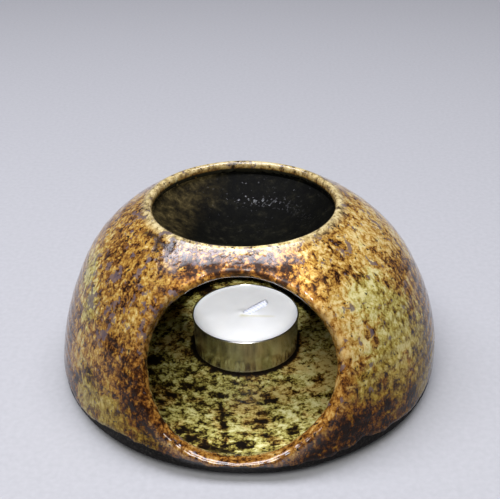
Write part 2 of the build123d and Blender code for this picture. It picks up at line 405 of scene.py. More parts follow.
def make_fired_pot():
    """The thrown pot with its window; layers on its mesh hold what each place saw of the fire, and
    painted shade and light.
    """
    pot = throw("fired_pot", pot_section(2.0), 144)
    tool = window_tool()
    use_modifier(pot, "BOOLEAN", operation="DIFFERENCE", solver="EXACT", object=tool)
    bpy.data.objects.remove(tool)
    use_modifier(pot, "REMESH", mode="VOXEL", voxel_size=VOXEL * MM)
    use_modifier(pot, "SMOOTH", factor=0.5, iterations=SMOOTHING)
    points = read_points(pot)
    clearance = window_clearance(points)
    line = even_points(pot_section(0.25), 0.1)
    write_points(pot, settle_on_section(points, line, ease(clearance, 1.4, 4.2)))
    sponge_lip(pot, clearance)

    points = read_points(pot)
    angle = round_angle(points)
    radius, outward, _ = off_axis(points)
    height = points[:, 2]
    in_mouth = (radius < MOUTH_RADIUS + 1.5) & (height > well_high.z - 0.5)
    from_skin = SHOULDER - np.hypot(radius - SHOULDER_CENTRE[0], height - SHOULDER_CENTRE[1])
    outside = 1 - ease(from_skin, 4.2, 5.3)
    outside[(height < BELLY_HEIGHT) | in_mouth] = 1.0
    above_tide = np.where(outside > 0.5, height - glaze_tide(angle), 9.0)
    creased = creases(points)
    coat = GLAZE * ease(above_tide, -0.5, 0.7) + GLAZE_BEAD * hump(above_tide, 1.0, 0.9)
    coat -= 0.3 * creased
    moved = handle_clay(points, angle)
    moved[:, :2] += outward * ((coat - GLAZE) * outside)[:, None]
    write_points(pot, moved)

    floor = (1 - outside) * (1 - ease(height, FLOOR_TOP + 1, FLOOR_TOP + 5))
    lip = hump(np.maximum(clearance - 1.0, 0), 0, 3.0)
    low_lip = ease(height, FLOOR_TOP + 0.4, FLOOR_TOP + 1.3) * (1 - ease(height, 11, 19))
    under_rim = 1 - ease(height, BODY_HEIGHT - 3.2, BODY_HEIGHT - 1.4)
    on_top = ease(height, BODY_HEIGHT - 2.4, BODY_HEIGHT - 1.0)
    spared = 1 - 0.55 * hump(angle, -48, 17)
    from_cup = np.hypot(points[:, 0] - CUP_X, points[:, 1]) - CUP_RADIUS
    layers = {
        "above_tide": above_tide,
        "outside": outside,
        "mouth": under_rim * (radius < MOUTH_RADIUS + 0.6) * (height > well_high.z - 2),
        "lip": lip,
        "sill": lip * low_lip,
        # painted light and scorch colour: the floor right of the cup is drawn lighter and more
        # orange
        "painted_light_and_scorch": hump(points[:, 0], 26, 11) * hump(points[:, 1], -14, 24) * floor,
        "rim": hump(radius, MOUTH_RADIUS + 1.5, 1.7) * on_top,
        "creased": creased,
        # painted shade: the outside is drawn darker and warmer low down, where less light falls
        "low": (1 - ease(height, 10, 40)) * outside * ease(clearance, 1, 6) * spared,
        # painted shadow: a dark ring on the floor round the cup's foot
        "painted_cup_shadow": hump(np.maximum(from_cup, 0), 0, 0.9) * floor,
        "pooled": pools(points),
    }
    layers |= {name: zone(points, places) for name, places in ZONES.items()}
    for name, values in layers.items():
        write_layer(pot, name, values)
    return pot


# Where the fire and the brush left the glaze different: degrees round the pot from the middle of
# the window, height, and how far the patch reaches.
ZONES = {
    "greener": (
        (50, 47, 9), (57, 38, 11), (64, 27, 12), (48, 30, 9), (62, 15, 9), (50, 21, 7), (74, 13, 9),
        (38, 25, 6), (-72, 44, 6), (-60, 38, 6), (-50, 14, 9), (-38, 11, 8), (-26, 10, 5),
        (150, 38, 22), (-135, 24, 18),
    ),
    "paler": (
        (78, 56, 10), (62, 56, 9), (48, 57, 7), (40, 50, 8), (35, 42, 8), (95, 50, 14),
        (-60, 20, 6), (-52, 12, 7), (170, 55, 14), (28, 57, 5), (64, 10, 5), (54, 24, 6),
        (76, 18, 7),
    ),
    "browner": (
        (-34, 28, 7), (-28, 22, 8), (-43, 34, 5), (-22, 15, 7), (-50, 20, 4), (0, 59, 4),
        (-12, 59, 4), (12, 59, 4), (-24, 58, 4), (22, 57.5, 4), (43, 15, 5), (22, 10, 7),
        (32, 12, 8), (55, 13, 3.5), (-62, 55, 5), (54, 59.5, 2.6), (90, 61.5, 2.6), (-95, 30, 14),
        (120, 18, 14), (-160, 50, 16),
    ),
    "drier": (
        (0, 58.3, 4.2), (-10, 58.3, 4.2), (10, 58.3, 4.2), (-21, 57.3, 4.2), (21, 57.3, 4.2),
        (-32, 54.5, 4.0), (32, 54.5, 4.0),
    ),
    "glassier": (
        (0, 61, 8), (-14, 61, 8), (-28, 61, 7), (13, 61, 7),
    ),
    "purpler": (
        (-33, 49, 5), (-30, 54, 5), (-32, 43, 4), (-42, 46, 5), (-57, 51, 6), (-69, 48, 6),
        (-78, 61.5, 3.0), (-82, 61, 2.6), (-74, 61.5, 2.6), (-66, 58, 4), (52, 59, 3),
        (89, 61.5, 3), (-48, 38, 5), (-62, 42, 5), (-40, 56, 4), (58, 62, 3), (-120, 45, 10),
        (175, 30, 12),
    ),
}

# Cracks that closed again in the fire: degrees and height of each corner, near the mouth.
CREASES = (((-57, 61.0), (-49, 61.6), (-42, 60.9), (-34, 60.6)), ((-47, 61.4), (-43, 59.4)),
           ((-40, 60.8), (-35, 61.8)))
CREASE_WIDTH = 0.75

# Dark glaze that gathered on the floor of the chamber: X, Y and reach.
POOLS = (
    (-18.8, -25.8, 2.6), (-14.5, -27.6, 2.2), (-24.4, -31.3, 2.4), (-27.5, -34.5, 1.8),
    (-33.5, -12.0, 4.0), (-34.0, -19.0, 2.5), (-16.0, -53.0, 3.2), (-10.8, -56.6, 3.0),
    (-4.6, -58.6, 2.4), (-19.5, -49.5, 2.0), (8.8, -32.9, 2.0), (6.5, -43.5, 2.0),
    (16.0, -48.5, 2.2), (0.5, -55.0, 2.4), (25.0, -22.0, 2.2), (30.0, -30.0, 2.0),
    (12.0, 34.0, 6.0), (-20.0, 36.0, 5.0),
)
STREAK = ((-8.1, -30.8), (-6.6, -40.0), (-5.5, -48.3), (-4.4, -57.0))
STREAK_WIDTH = 0.9


def spot_on_pot(degrees, height, reach):
    """Place at a height, in a direction from the window's middle and so far from the axis."""
    turn = math.radians(degrees)
    return np.array([reach * math.sin(turn), -reach * math.cos(turn), height])


def zone(points, places):
    """Share of a group of patches on the glaze, 1 in the middle of each."""
    values = np.zeros(len(points))
    for degrees, height, reach in places:
        radius = shoulder_radius(min(max(height, 5), BODY_HEIGHT - 2))
        away = np.linalg.norm(points - spot_on_pot(degrees, height, radius), axis=1)
        values = np.maximum(values, hump(away, 0, reach))
    return values


def creases(points):
    """Share of the healed cracks, 1 along their lines."""
    values = np.zeros(len(points))
    for corners in CREASES:
        spots = [spot_on_pot(degrees, height, shoulder_radius(height))
                 for degrees, height in corners]
        for start, end in zip(spots, spots[1:]):
            values = np.maximum(values, hump(away_from_line(points, start, end), 0, CREASE_WIDTH))
    return values


def pools(points):
    """Share of dark glaze on the floor: pools, and one run that a finger left."""
    flat = points[:, :2]
    values = np.zeros(len(points))
    for x, y, reach in POOLS:
        away = np.hypot(flat[:, 0] - x, (flat[:, 1] - y) * 1.3)
        values = np.maximum(values, hump(away, 0, reach))
    for start, end in zip(STREAK, STREAK[1:]):
        run = 0.8 * hump(away_from_line(flat, start, end), 0, STREAK_WIDTH)
        values = np.maximum(values, run)
    return values * (points[:, 2] < FLOOR_TOP + 3)


pot = make_fired_pot()


# ------------------------ the oil bowl

BOWL_WALL = 4.2
BOWL_LAND = 0.8  # upright band between the hollow and the brim


def bowl_section():
    """Section of the bowl: hollow and back are arcs round one centre."""
    bottom = well_low.z + BOWL_WALL
    rise = well_high.z - BOWL_LAND - bottom
    hollow = (MOUTH_RADIUS**2 + rise**2) / (2 * rise)
    back = hollow + BOWL_WALL
    sweep = math.degrees(math.asin(MOUTH_RADIUS / hollow))
    back_sweep = math.degrees(math.asin(well_high.x / back))
    centre = (0, bottom + hollow)
    line = arc(centre, hollow, -90, -90 + sweep, 40)
    line += [(MOUTH_RADIUS, well_high.z), (well_high.x, well_high.z)]
    line += arc(centre, back, -90 + back_sweep, -90, 24)
    return line


def make_oil_bowl():
    """The bowl with the faint spiral of the wheel, and layers where its glaze ran thin or wet."""
    bowl = throw("oil_bowl", bowl_section(), 160)
    points = read_points(bowl)
    angle = round_angle(points)
    radius = off_axis(points)[0]
    hollow = (points[:, 2] > well_low.z + BOWL_WALL - 0.2) & (radius < MOUTH_RADIUS - 0.5)
    spiral = 0.04 * np.sin(radius / 0.75 - np.radians(angle)) * ease(radius, 3, 9)
    uneven = np.where(hollow, spiral + 0.25 * wander(points, 12, 8), 0)
    points[:, 2] += uneven * (1 - ease(radius, MOUTH_RADIUS - 4, MOUTH_RADIUS - 1))
    points[:, 0] += lean(points[:, 2])
    write_points(bowl, points)
    write_layer(bowl, "thin", ease(-points[:, 0], 6, 24) * ease(radius, 16, 27))
    wet = hump(radius, 21.5, 3.0) * ease(points[:, 0], -14, 6) * ease(points[:, 1], -2, 7)
    write_layer(bowl, "wet", wet)
    return bowl


bowl = make_oil_bowl()


# ------------------------ the tealight

CUP_FOOT = CUP_RADIUS - 0.55
CUP_BASE = cup_low.z
CUP_TOP = cup_high.z
CUP_SKIN = 0.3  # thickness of the drawn sheet
CUP_BEAD = 0.3  # radius of the rolled rim
CUP_CORNER = 0.5
CUP_INNER_CORNER = 0.6
CUP_FLARE = 0.12  # the pressed foot stands out this far as a bright line
PANEL_RADIUS = 14.0
PANEL_RISE = 0.6
PANEL_STEP = 0.8
FLUTES = 62
FLUTE_DEPTH = 0.10
WAX_DROP = 0.3  # the wax shrank this far below its solid at the cup's wall
WAX_CROWN = 0.3  # and stands this much higher in its middle
WAX_PEAK = 0.25  # with a small peak
WAX_CLIMB = 0.35  # and this much again where it climbs the wick
WICK_SHADOW_LENGTH = 11.0  # painted shadow of the wick: a yellowish streak on the wax beside it
WICK_SHADOW_OFFSET = 2.2
WICK_BEND = (-1.2, 0.0)
WICK_RADIUS = 1.15
WICK_LENGTH = 10.8
WICK_RISE = math.radians(35)
WICK_TURN = math.radians(-4)
WICK_CORNERS = 24


def cup_section():
    """Section of the cup: raised panel, flared foot, wall and rolled rim, then back inside."""
    bead = (CUP_RADIUS - CUP_BEAD, CUP_TOP - CUP_BEAD)
    lip_r = CUP_RADIUS - CUP_BEAD * 2 + CUP_SKIN
    wall_base, wall_top = CUP_BASE + CUP_CORNER * 2, bead[1] - CUP_BEAD
    panel_z, step_r = CUP_BASE + PANEL_RISE, PANEL_RADIUS + PANEL_STEP
    inner_r = CUP_FOOT - CUP_SKIN - CUP_INNER_CORNER
    inner_z = CUP_BASE + CUP_SKIN + CUP_INNER_CORNER
    line = [(0, panel_z), (PANEL_RADIUS, panel_z), (step_r, CUP_BASE)]
    line += arc((CUP_FOOT - CUP_CORNER + CUP_FLARE, CUP_BASE + CUP_CORNER), CUP_CORNER, -90, 25, 8)
    line += [
        (CUP_FOOT + (lip_r - CUP_FOOT) * i / 14, wall_base + (wall_top - wall_base) * i / 14)
        for i in range(15)
    ]
    line += arc(bead, CUP_BEAD, -60, 180, 8)
    line += [(lip_r - CUP_SKIN, wall_top)]
    line += arc((inner_r, inner_z), CUP_INNER_CORNER, 0, -90, 5)
    line += [(step_r, CUP_BASE + CUP_SKIN), (PANEL_RADIUS, panel_z + CUP_SKIN),
             (0, panel_z + CUP_SKIN)]
    return line


def make_cup():
    """The drawn cup, with uneven flutes low on its wall."""
    cup = throw("pressed_cup", cup_section(), 6 * FLUTES, CUP_X)
    points = read_points(cup)
    radius, outward, turn = off_axis(points, CUP_X)
    height = points[:, 2] - CUP_BASE
    band = ease(height, 0.9, 1.6) * (1 - ease(height, 3.2, 5.6)) * (radius > CUP_FOOT - 0.6)
    pleats = np.cos(FLUTES * turn + 0.8 * np.sin(3 * turn)) * (0.6 + 0.4 * np.sin(7 * turn + 1))
    inset = -FLUTE_DEPTH * band * (1 - pleats)
    points[:, :2] += outward * inset[:, None]
    write_points(cup, points)
    return cup


def make_wax():
    """The wax as it set in the cup, with a layer for the painted shadow of the wick on it."""
    edge_z = wax_high.z - WAX_DROP
    base_z = wax_low.z + 0.1
    foot_r = CUP_FOOT - CUP_SKIN - 0.1
    edge_r = CUP_RADIUS - CUP_BEAD * 2 - 0.02
    line = [(0, base_z), (foot_r - 1, base_z), (foot_r, wax_low.z + 0.9), (edge_r, edge_z - 0.5)]
    for i in range(25):
        inward = i / 24
        rise = WAX_CROWN * (1 - (1 - inward) ** 2)
        rise += WAX_PEAK * math.exp(-((inward * edge_r / 0.5) ** 2))
        line.append((edge_r * (1 - inward), edge_z + rise))
    wax = throw("poured_wax", line, 128, CUP_X)
    points = read_points(wax)
    from_wick = points[:, :2] - np.array([CUP_X + WICK_BEND[0], WICK_BEND[1]])
    near_top = points[:, 2] > edge_z - 0.1
    climb = hump(np.hypot(from_wick[:, 0], from_wick[:, 1]), 0, 1.7)
    points[:, 2] += near_top * WAX_CLIMB * climb
    points[:, 2] += near_top * 0.05 * wander(points, 6, 9)
    write_points(wax, points)
    # painted shadow of the wick, fading towards its end
    along = np.clip(from_wick[:, 0], 0, WICK_SHADOW_LENGTH)
    from_wick_shadow = np.hypot(from_wick[:, 0] - along, (from_wick[:, 1] + WICK_SHADOW_OFFSET) * 1.4)
    fading = 1 - 0.6 * along / WICK_SHADOW_LENGTH
    write_layer(wax, "painted_wick_shadow", hump(from_wick_shadow, 0, 0.9) * near_top * fading)
    return wax


def wick_path():
    """Middle line of the wick, from the disc up through the wax, over the bend and to its tip."""
    foot = Vector((CUP_X, 0, disc_low.z + 0.6))
    neck = Vector((CUP_X, 0, disc_high.z))
    bend = Vector((CUP_X + WICK_BEND[0], WICK_BEND[1], CUP_TOP - 1.4))
    level = math.cos(WICK_RISE)
    free = Vector((level * math.cos(WICK_TURN), level * math.sin(WICK_TURN), math.sin(WICK_RISE)))
    tip = bend + free * WICK_LENGTH
    path = [foot]
    for before, here, after, soft in ((foot, neck, bend, 1.2), (neck, bend, tip, 1.8)):
        start = here + (before - here).normalized() * soft
        end = here + (after - here).normalized() * soft
        for i in range(9):
            t = i / 8
            path.append(start * (1 - t) ** 2 + here * 2 * t * (1 - t) + end * t**2)
    path.append(tip)
    points = []
    for here, there in zip(path, path[1:]):
        parts = max(1, round((there - here).length / 0.3))
        points += [here.lerp(there, i / parts) for i in range(parts)]
    return points + [tip]


def make_wick():
    """Three cotton strands twisted together: a lobed ring, pulled on along the wick and turned."""
    path = wick_path()
    last = len(path) - 1
    clear_selection()
    bpy.ops.mesh.primitive_circle_add(
        vertices=WICK_CORNERS, radius=WICK_RADIUS * MM, location=path[0] * MM, fill_type="NGON"
    )
    wick = bpy.context.object
    wick.name = "cotton_wick"
    bpy.ops.object.mode_set(mode="EDIT")
    for here, there in zip(path, path[1:]):
        bpy.ops.mesh.extrude_region_move(TRANSFORM_OT_translate={"value": (there - here) * MM})
    set_down(wick)
    rings = read_points(wick).reshape(len(path), WICK_CORNERS, 3)
    for index, centre in enumerate(path):
        ahead = (path[min(index + 1, last)] - path[max(index - 1, 0)]).normalized()
        side = ahead.cross(Vector((0, 1, 0))).normalized()
        front = ahead.cross(side)
        taper = 1 - 0.16 * math.exp(-min(index, last - index) / 1.5)
        for corner in range(WICK_CORNERS):
            turn = math.tau * corner / WICK_CORNERS
            strands = 0.05 * math.cos(3 * turn + index * 0.28)
            threads = 0.03 * math.cos(7 * turn - index * 0.5)
            reach = WICK_RADIUS * (0.98 + strands + threads) * taper
            spoke = side * math.cos(turn) + front * math.sin(turn)
            rings[index, corner] = centre + spoke * reach
    write_points(wick, rings.reshape(-1, 3))
    take_up(wick)
    bpy.ops.object.mode_set(mode="EDIT")
    bpy.ops.mesh.select_all(action="SELECT")
    bpy.ops.mesh.normals_make_consistent()
    return set_down(wick)


def make_sustainer():
    """Pressed tin disc with a ribbed face and a crimped neck round the wick."""
    base, top = disc_low.z, disc_high.z
    line = [(1.05, base), (5.6, base), (6.0, base + 0.15), (5.7, base + 0.3), (4.4, base + 0.42),
            (3.4, base + 0.3)]
    line += arc((2.2, base + 0.9), 0.6, -90, -180, 4)
    line += [(1.58, base + 2.0), (1.5, base + 2.9), (1.58, top - 0.1), (1.45, top),
             (1.08, top - 0.1), (1.05, base + 1.0), (1.05, base)]
    disc = throw("crimped_sustainer", line, 72, CUP_X)
    points = read_points(disc)
    radius, outward, turn = off_axis(points, CUP_X)
    on_face = (radius > 2.6) & (radius < 5.4) & (points[:, 2] > base + 0.2)
    points[:, 2] += 0.06 * np.cos(16 * turn) * on_face
    crimp = 0.12 * np.abs(np.cos(4 * turn)) * (points[:, 2] > base + 1.8) * (radius > 1.3)
    points[:, :2] -= outward * crimp[:, None]
    write_points(disc, points)
    return disc


cup = make_cup()
wax = make_wax()
wick = make_wick()
sustainer = make_sustainer()
for piece in (bowl, pot, cup, wax, wick, sustainer):
    shade_smooth(piece, 50)


# ------------------------ finishes

# Settings that several nodes share
LAID = {"data_type": "RGBA", "out": 2}  # one colour laid over another by a share
PLUS = {"operation": "MULTIPLY_ADD"}
TIMES = {"operation": "MULTIPLY"}
MOST = {"operation": "MAXIMUM"}
SOFT = {"interpolation_type": "SMOOTHSTEP"}

# Colours of the glaze, from where its iron gathered to where it lies thin and pale
OCHRE = (
    (0.302, "#201108"), (0.342, "#4c2c12"), (0.382, "#7d5222"), (0.419, "#a0762f"),
    (0.470, "#bb974a"), (0.542, "#d6bc82"),
)
OLIVE = (
    (0.302, "#2a1e0a"), (0.342, "#5a4719"), (0.382, "#80702d"), (0.419, "#9a8c40"),
    (0.470, "#b3aa5c"), (0.542, "#d2cc94"),
)
RUST = (
    (0.302, "#26140a"), (0.357, "#5a3313"), (0.402, "#8a5a22"), (0.462, "#ad7f3c"),
    (0.542, "#cba765"),
)
CREST = ((0.282, "#3f2e18"), (0.327, "#86724a"), (0.382, "#b8a46c"), (0.462, "#dccb9a"))
HEARTH = (
    (0.395, "#120b05"), (0.425, "#382b10"), (0.452, "#6f6126"), (0.480, "#9f9449"),
    (0.515, "#c2bb6e"), (0.56, "#dedaa2"),
)
SCORCHED = (
    (0.385, "#120b05"), (0.425, "#3f260d"), (0.455, "#7a5420"), (0.485, "#a88842"),
    (0.53, "#cdb670"),
)
CLAY = ((0.35, "#121110"), (0.55, "#232120"), (0.68, "#3f3c38"))
WARM_TINT, RUTILE, IRON, LAPPED = "#ead08a", "#605257", "#21130b", "#2a281e"

# Colours of the bowl, where its glaze lies thick and where it ran thin
TENMOKU = ((0.40, "#040403"), (0.54, "#080805"), (0.62, "#14130d"), (0.72, "#2a261a"))
THIN_OLIVE = ((0.38, "#120f08"), (0.48, "#2a2414"), (0.58, "#433a22"), (0.68, "#6a5d3c"))


def paint(code):
    """Linear colour of an sRGB hex value."""
    values = [int(code[i:i + 2], 16) / 255 for i in (1, 3, 5)]
    return tuple(v / 12.92 if v <= 0.04045 else ((v + 0.055) / 1.055) ** 2.4 for v in values) + (1,)


def per(size):
    """Pattern scale for lumps of a size in millimetres, on Object coordinates in metres."""
    return 1 / (size * MM)


def plug(node, inputs):
    """Sets a node's sockets to values, or links them to the sockets of other nodes."""
    for socket, value in inputs.items():
        if isinstance(value, bpy.types.NodeSocket):
            node.id_data.links.new(value, node.inputs[socket])
        else:
            node.inputs[socket].default_value = value


def add_node(tree, kind, inputs=None, stops=(), out=0, **settings):
    """One output of a new node, given its inputs, a ramp's stops and its settings.

    Inputs go by name or number, and number 0 is what the node works on or the share it mixes by."""
    node = tree.nodes.new("ShaderNode" + kind)
    for key, value in settings.items():
        setattr(node, key, value)
    plug(node, inputs or {})
    if stops:
        ramp = node.color_ramp
        while len(ramp.elements) < len(stops):
            ramp.elements.new(0.5)
        for element, (place, colour) in zip(ramp.elements, stops):
            element.position = place
            element.color = paint(colour)
    return node.outputs[out]


def new_finish(name):
    """A new material, its surface, what adds a node to it, and the piece's own coordinates."""
    finish = bpy.data.materials.new(name)
    finish.use_nodes = True
    add = partial(add_node, finish.node_tree)
    return finish, finish.node_tree.nodes["Principled BSDF"], add, add("TexCoord", out="Object")


def speckled_stoneware_glaze():
    """Iron and rutile stoneware glaze, brushed over buff clay and fired to a gloss.

    The eye sees an ochre ground broken by brown iron that crept through it in fine branches, grey
    violet rutile where it lies thick, near black iron spots, greener and paler areas where it ran,
    and below its edge the matt charcoal of the bare clay."""
    finish, surface, add, place = new_finish("brushed_iron_rutile_glaze")
    drawn = add("Mapping", {0: place, "Scale": (1, 1, 0.7)})
    layer = {
        name: add("Attribute", attribute_name=name, out="Fac")
        for name in ("above_tide", "outside", "mouth", "lip", "sill", "painted_light_and_scorch", "rim", "creased",
                     "low", "painted_cup_shadow", "pooled", *ZONES)
    }

    # Iron that branched through the ochre: 3 mm clouds, 1.5 mm cells and fine grain
    creep = add("TexNoise", {
        0: drawn, "Scale": per(3.0), "Detail": 9.0, "Roughness": 0.7, "Distortion": 0.7,
    })
    grain = add("TexNoise", {0: place, "Scale": per(0.75), "Detail": 4.0, "Roughness": 0.75})
    broad = add("TexNoise", {0: drawn, "Scale": per(11.0), "Detail": 5.0, "Roughness": 0.62})
    sway = add("TexNoise", {
        0: place, "Scale": per(1.5), "Detail": 3.0, "Roughness": 0.6,
    }, out="Color")
    swayed = add("VectorMath", {0: sway, 1: (1.7 * MM,) * 3, 2: drawn}, **PLUS)
    cells = add("TexVoronoi", {0: swayed, "Scale": per(1.5)}, feature="SMOOTH_F1")
    tone = add("Mix", {0: 0.42, 2: creep, 3: grain})
    tone = add("Mix", {0: 0.14, 2: tone, 3: broad})

    # Dark seams, about 0.3 mm, where iron gathered between cells of 1.9 mm, in some places only
    split_at = add("TexVoronoi", {0: swayed, "Scale": per(1.9)}, feature="DISTANCE_TO_EDGE")
    seam = add("MapRange", {
        0: split_at, "From Min": 0.02, "From Max": 0.17, "To Min": 1.0, "To Max": 0.0,
    })
    seamed = add("MapRange", {
        0: broad, "From Min": 0.40, "From Max": 0.56, "To Min": 1.0, "To Max": 0.25,
    })
    seam = add("Math", {0: seam, 1: seamed}, **TIMES)

    # Patches of their own colour, with edges that fray into the branches
    frayed = add("Mix", {0: 0.65, 2: broad, 3: creep})
    fray = add("MapRange", {
        0: frayed, "From Min": 0.4, "From Max": 0.6, "To Min": -0.4, "To Max": 0.4,
    }, clamp=False)
    for name in ("greener", "paler", "browner"):
        spread = add("Math", {0: layer[name], 1: fray}, operation="ADD")
        layer[name] = add("MapRange", {0: spread, "From Min": 0.15, "From Max": 0.8}, **SOFT)
    # the darkening low on the outside is painted shade
    for share, weight in (
        (cells, -0.19), (seam, -0.05), (layer["paler"], 0.055), (layer["greener"], 0.03),
        (layer["browner"], -0.05), (layer["glassier"], -0.04), (layer["drier"], -0.022),
        (layer["low"], -0.045),
    ):
        tone = add("Math", {0: share, 1: weight, 2: tone}, **PLUS)
    ochre, olive, rust, crest = (
        add("ValToRGB", {0: tone}, stops) for stops in (OCHRE, OLIVE, RUST, CREST)
    )
    green = add("Math", {0: layer["greener"], 1: 0.8}, **TIMES)
    colour = add("Mix", {0: green, 6: ochre, 7: olive}, **LAID)

    # The glaze broke orange brown over the sponged lip of the window
    orange = add("Math", {0: layer["lip"], 1: 0.8}, **TIMES)
    colour = add("Mix", {0: orange, 6: colour, 7: rust}, **LAID)

    # Pale on the crest of the rim, where the glaze ran off and left a thin skin
    colour = add("Mix", {0: layer["rim"], 6: colour, 7: crest}, **LAID)

    # Warmer and darker low on the flanks: painted shade, where less light falls on the lower pot
    thick = add("Math", {0: layer["low"], 1: 1.3}, use_clamp=True, **TIMES)
    colour = add("Mix", {0: thick, 6: colour, 7: paint(WARM_TINT)}, blend_type="MULTIPLY", **LAID)

    # Grey violet rutile in drawn out patches, 1 to 3 mm
    lift = add("TexNoise", {
        0: drawn, "W": 4.0, "Scale": per(3.0), "Detail": 4.0, "Roughness": 0.6,
        "Distortion": 0.3,
    }, noise_dimensions="4D")
    for name, weight in (
        ("purpler", 0.09), ("glassier", 0.08), ("drier", -0.14), ("browner", -0.12), ("low", -0.10),
    ):
        lift = add("Math", {0: layer[name], 1: weight, 2: lift}, **PLUS)
    rutile = add("MapRange", {0: lift, "From Min": 0.59, "From Max": 0.625}, **SOFT)
    violet = add("Math", {0: rutile, 1: 0.8}, **TIMES)
    colour = add("Mix", {0: violet, 6: colour, 7: paint(RUTILE)}, **LAID)

    # Iron spots that burnt through from the clay, under a millimetre to 2 mm, and healed cracks
    iron = add("TexNoise", {
        0: place, "W": 9.0, "Scale": per(1.5), "Detail": 4.0, "Roughness": 0.6,
    }, noise_dimensions="4D")
    iron = add("Math", {0: layer["browner"], 1: 0.04, 2: iron}, **PLUS)
    iron = add("MapRange", {0: iron, "From Min": 0.615, "From Max": 0.65}, **SOFT)
    iron = add("Math", {0: iron, 1: layer["creased"]}, **MOST)
    colour = add("Mix", {0: iron, 6: colour, 7: paint(IRON)}, **LAID)

    # Floor of the chamber: olive glaze in streaks that follow the potter's finger round the wheel
    flat = add("VectorMath", {0: place, 1: (1, 1, 0)}, **TIMES)
    reach = add("VectorMath", {0: flat}, operation="LENGTH", out="Value")
    direction = add("VectorMath", {0: flat}, operation="NORMALIZE")
    turned = add("VectorMath", {0: direction, "Scale": 22 * MM}, operation="SCALE")
    upright = add("CombineXYZ", {2: reach})
    polar = add("VectorMath", {0: turned, 1: upright}, operation="ADD")
    streak = add("TexNoise", {
        0: polar, "Scale": per(2.4), "Detail": 8.0, "Roughness": 0.7, "Distortion": 0.6,
    })
    pool = add("TexNoise", {
        0: place, "Scale": per(4.0), "Detail": 7.0, "Roughness": 0.7, "Distortion": 0.4,
    })
    mixed = add("Mix", {0: 0.5, 2: streak, 3: pool})
    mixed = add("Mix", {0: 0.26, 2: mixed, 3: grain})

    # Net of iron between cells of 3 mm, its threads about 1 mm wide and broken in places
    web_place = add("VectorMath", {0: sway, 1: (3.4 * MM,) * 3, 2: place}, **PLUS)
    web_at = add("TexVoronoi", {0: web_place, "Scale": per(3.0)}, feature="DISTANCE_TO_EDGE")
    web = add("MapRange", {0: web_at, "From Max": 0.26, "To Min": 1.0, "To Max": 0.0})
    whole = add("MapRange", {
        0: streak, "From Min": 0.42, "From Max": 0.58, "To Min": 1.0, "To Max": 0.3,
    })
    web = add("Math", {0: web, 1: whole}, **TIMES)
    # Painted shadow darkens the floor in a ring round the cup's foot, and painted light lightens it
    # right of the cup
    for share, weight in (
        (web, -0.082), (layer["painted_cup_shadow"], -0.18), (layer["pooled"], -0.14), (layer["painted_light_and_scorch"], 0.05),
    ):
        mixed = add("Math", {0: share, 1: weight, 2: mixed}, **PLUS)
    hearth, scorched = (add("ValToRGB", {0: mixed}, stops) for stops in (HEARTH, SCORCHED))
    scorch = add("MapRange", {0: broad, "From Min": 0.48, "From Max": 0.60, "To Max": 0.75}, **SOFT)
    # more orange right of the cup, where light is also painted
    scorch = add("Math", {0: layer["painted_light_and_scorch"], 1: 0.35, 2: scorch}, use_clamp=True, **PLUS)
    hearth = add("Mix", {0: scorch, 6: hearth, 7: scorched}, **LAID)
    indoors = add("Math", {0: 1.0, 1: layer["outside"]}, operation="SUBTRACT")
    colour = add("Mix", {0: indoors, 6: colour, 7: hearth}, **LAID)

    # The dark glaze of the bowl laps up the inside of the mouth
    lap = add("Math", {0: creep, 1: 0.6, 2: layer["mouth"]}, **PLUS)
    lap = add("MapRange", {0: lap, "From Min": 0.45, "From Max": 1.0}, **SOFT)
    colour = add("Mix", {0: lap, 6: colour, 7: paint(LAPPED)}, **LAID)

    # Bare clay below the glaze's ragged edge
    ragged = add("TexNoise", {0: place, "Scale": per(1.6), "Detail": 4.0})
    tide = add("Math", {0: ragged, 1: 1.8, 2: layer["above_tide"]}, **PLUS)
    glazed = add("MapRange", {0: tide, "From Min": 0.8, "From Max": 1.05}, **SOFT)
    grit = add("TexNoise", {0: place, "Scale": per(0.7), "Detail": 3.0})
    clay = add("ValToRGB", {0: grit}, CLAY)
    colour = add("Mix", {0: glazed, 6: clay, 7: colour}, **LAID)

    # Gloss: the ochre is glassy, rutile and iron a little drier, the floor and the clay matt
    dry = add("Math", {0: rutile, 1: iron}, **MOST)
    rough = add("MapRange", {0: dry, "To Min": 0.08, "To Max": 0.34})
    for share, weight in ((indoors, 0.34), (layer["drier"], 0.45), (layer["painted_cup_shadow"], 0.4)):
        rough = add("Math", {0: share, 1: weight, 2: rough}, **PLUS)
    rough = add("Mix", {0: glazed, 2: 0.82, 3: rough})
    dull = indoors
    for name in ("low", "drier", "browner"):
        dull = add("Math", {0: dull, 1: layer[name]}, **MOST)
    shine = add("MapRange", {0: dull, "To Min": 0.33, "To Max": 0.10})

    # A thicker, glassy coat under the mouth, on its rim and low on the window's lip
    edges = add("Math", {0: layer["sill"], 1: layer["rim"]}, **MOST)
    wetter = add("Math", {0: edges, 1: 0.9}, **TIMES)
    glassy = add("Math", {
        0: layer["glassier"], 1: layer["drier"],
    }, operation="SUBTRACT", use_clamp=True)
    coat = add("Math", {0: glassy, 1: wetter}, **MOST)

    # Relief: the glaze's skin is gently dimpled, and iron leaves small pits in it
    relief = add("TexNoise", {0: place, "Scale": per(2.6), "Detail": 2.5})
    for share, weight in ((creep, 0.22), (dry, -0.22)):
        relief = add("Math", {0: share, 1: weight, 2: relief}, **PLUS)
    firm = add("MapRange", {0: edges, "To Min": 0.34, "To Max": 0.10})
    firm = add("Math", {0: glassy, 1: 0.36, 2: firm}, **PLUS)
    bump = add("Bump", {"Strength": firm, "Distance": 0.35 * MM, "Height": relief})
    plug(surface, {
        "Base Color": colour, "Roughness": rough, "IOR": 1.52, "Specular IOR Level": shine,
        "Coat Weight": coat, "Coat Roughness": 0.05, "Coat IOR": 1.75,
        "Normal": bump, "Coat Normal": bump,
    })
    return finish


